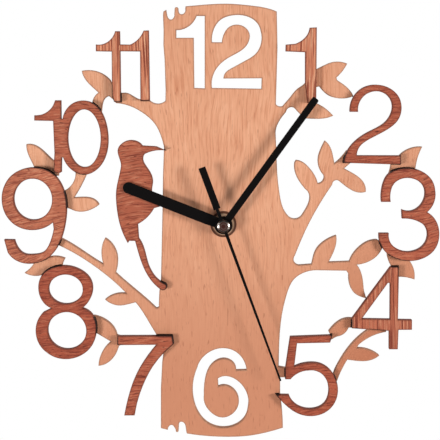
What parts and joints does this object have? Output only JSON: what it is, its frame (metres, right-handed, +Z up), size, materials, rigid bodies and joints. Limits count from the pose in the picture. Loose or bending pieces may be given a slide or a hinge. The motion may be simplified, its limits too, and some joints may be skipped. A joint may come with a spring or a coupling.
{
  "type": "wall clock",
  "caption": "Laser-cut plywood tree wall clock with a woodpecker, branches that carry the numerals, three hands and a battery quartz movement with its gear train.",
  "frame": {"origin": "where the hand axis meets the wall", "axes": "+Y into the wall, so the dial faces -Y; +X to the right seen from the front; +Z up"},
  "size_m": [0.2981, 0.0328, 0.2999],
  "materials": {
    "pale_wood": "pale veneered plywood, sanded matt, laser-darkened edges",
    "dark_wood": "reddish-brown veneered plywood, sanded matt, charred edges",
    "case_plastic": "black moulded plastic, fine texture",
    "gear_plastic": "natural acetal",
    "knob_plastic": "white moulded plastic",
    "board": "green circuit board",
    "resin": "black resin drop",
    "iron": "stamped soft iron",
    "bright_steel": "nickel-plated steel",
    "nut_steel": "plated steel nut",
    "copper": "enamelled copper wire",
    "battery_can": "plain jacket, no lettering",
    "rubber": "black rubber",
    "brass": "brass sheet with a darkened rim",
    "black_hand": "punched aluminium under black satin paint",
    "boss_chrome": "polished, dark rim"
  },
  "bodies": {
    "clock_body": {"back_cover": "case_plastic", "bearing_plate": "gear_plastic", "brass_washer": "brass", "circuit_board": "board", "coil_bobbin": "gear_plastic", "coil_winding": "copper", "cover_screws": "bright_steel", "driver_chip": "resin", "hex_nut": "nut_steel", "leaf_four_five": "pale_wood", "leaf_nine_eight": "pale_wood", "leaf_ten_nine": "pale_wood", "leaf_three_four": "pale_wood", "leaf_two_three": "pale_wood", "leaves_eight_seven": "pale_wood", "movement_case": "case_plastic", "negative_contact": "bright_steel", "numeral_eight": "dark_wood", "numeral_eleven": "dark_wood", "numeral_five": "dark_wood", "numeral_four": "dark_wood", "numeral_nine": "dark_wood", "numeral_one": "dark_wood", "numeral_seven": "dark_wood", "numeral_ten": "dark_wood", "numeral_three": "dark_wood", "numeral_two": "dark_wood", "positive_contact": "bright_steel", "quartz_crystal": "bright_steel", "rubber_washer": "rubber", "stator": "iron", "tree_plate": "pale_wood", "twig_four_five": "pale_wood", "twig_ten_nine": "pale_wood", "woodpecker": "dark_wood"},
    "minute_works": {"centre_wheel": "gear_plastic", "minute_hand": "black_hand"},
    "hour_works": {"hour_wheel": "gear_plastic", "hour_hand": "black_hand"},
    "second_works": {"second_wheel": "gear_plastic", "second_hand": "black_hand", "hand_boss": "boss_chrome"},
    "third_works": {"third_wheel": "gear_plastic"},
    "intermediate_works": {"intermediate_wheel": "gear_plastic"},
    "rotor_works": {"rotor": "iron"},
    "setting_works": {"motion_wheel": "gear_plastic", "setting_knob": "knob_plastic"},
    "battery_cell": {"battery": "battery_can"}
  },
  "joints": [
    {"name": "minute_spin", "type": "hinge", "parent": "clock_body", "child": "minute_works", "pos_m": [0, -0.01, 0], "axis": [0, 1, 0], "continuous": true},
    {"name": "hour_spin", "type": "hinge", "parent": "clock_body", "child": "hour_works", "pos_m": [0, -0.01, 0], "axis": [0, 1, 0], "continuous": true},
    {"name": "second_spin", "type": "hinge", "parent": "clock_body", "child": "second_works", "pos_m": [0, -0.01, 0], "axis": [0, 1, 0], "continuous": true},
    {"name": "third_spin", "type": "hinge", "parent": "clock_body", "child": "third_works", "pos_m": [0.00505, -0.01, 0.00875], "axis": [0, 1, 0], "continuous": true},
    {"name": "intermediate_spin", "type": "hinge", "parent": "clock_body", "child": "intermediate_works", "pos_m": [0.00632, -0.01, -0.00365], "axis": [0, 1, 0], "continuous": true},
    {"name": "rotor_spin", "type": "hinge", "parent": "clock_body", "child": "rotor_works", "pos_m": [0.01252, -0.01, -0.00139], "axis": [0, 1, 0], "continuous": true},
    {"name": "setting_spin", "type": "hinge", "parent": "clock_body", "child": "setting_works", "pos_m": [-0.01053, -0.01, 0.00282], "axis": [0, 1, 0], "continuous": true},
    {"name": "battery_slide", "type": "slide", "parent": "clock_body", "child": "battery_cell", "axis": [0, 1, 0], "range_m": [0, 0.02]}
  ],
  "couplings": [
    {"joint": "hour_spin", "follows": "minute_spin", "ratio": 0.083333},
    {"joint": "second_spin", "follows": "minute_spin", "ratio": 60},
    {"joint": "third_spin", "follows": "minute_spin", "ratio": -8},
    {"joint": "intermediate_spin", "follows": "minute_spin", "ratio": -360},
    {"joint": "rotor_spin", "follows": "minute_spin", "ratio": 1800},
    {"joint": "setting_spin", "follows": "minute_spin", "ratio": -0.33333}
  ]
}
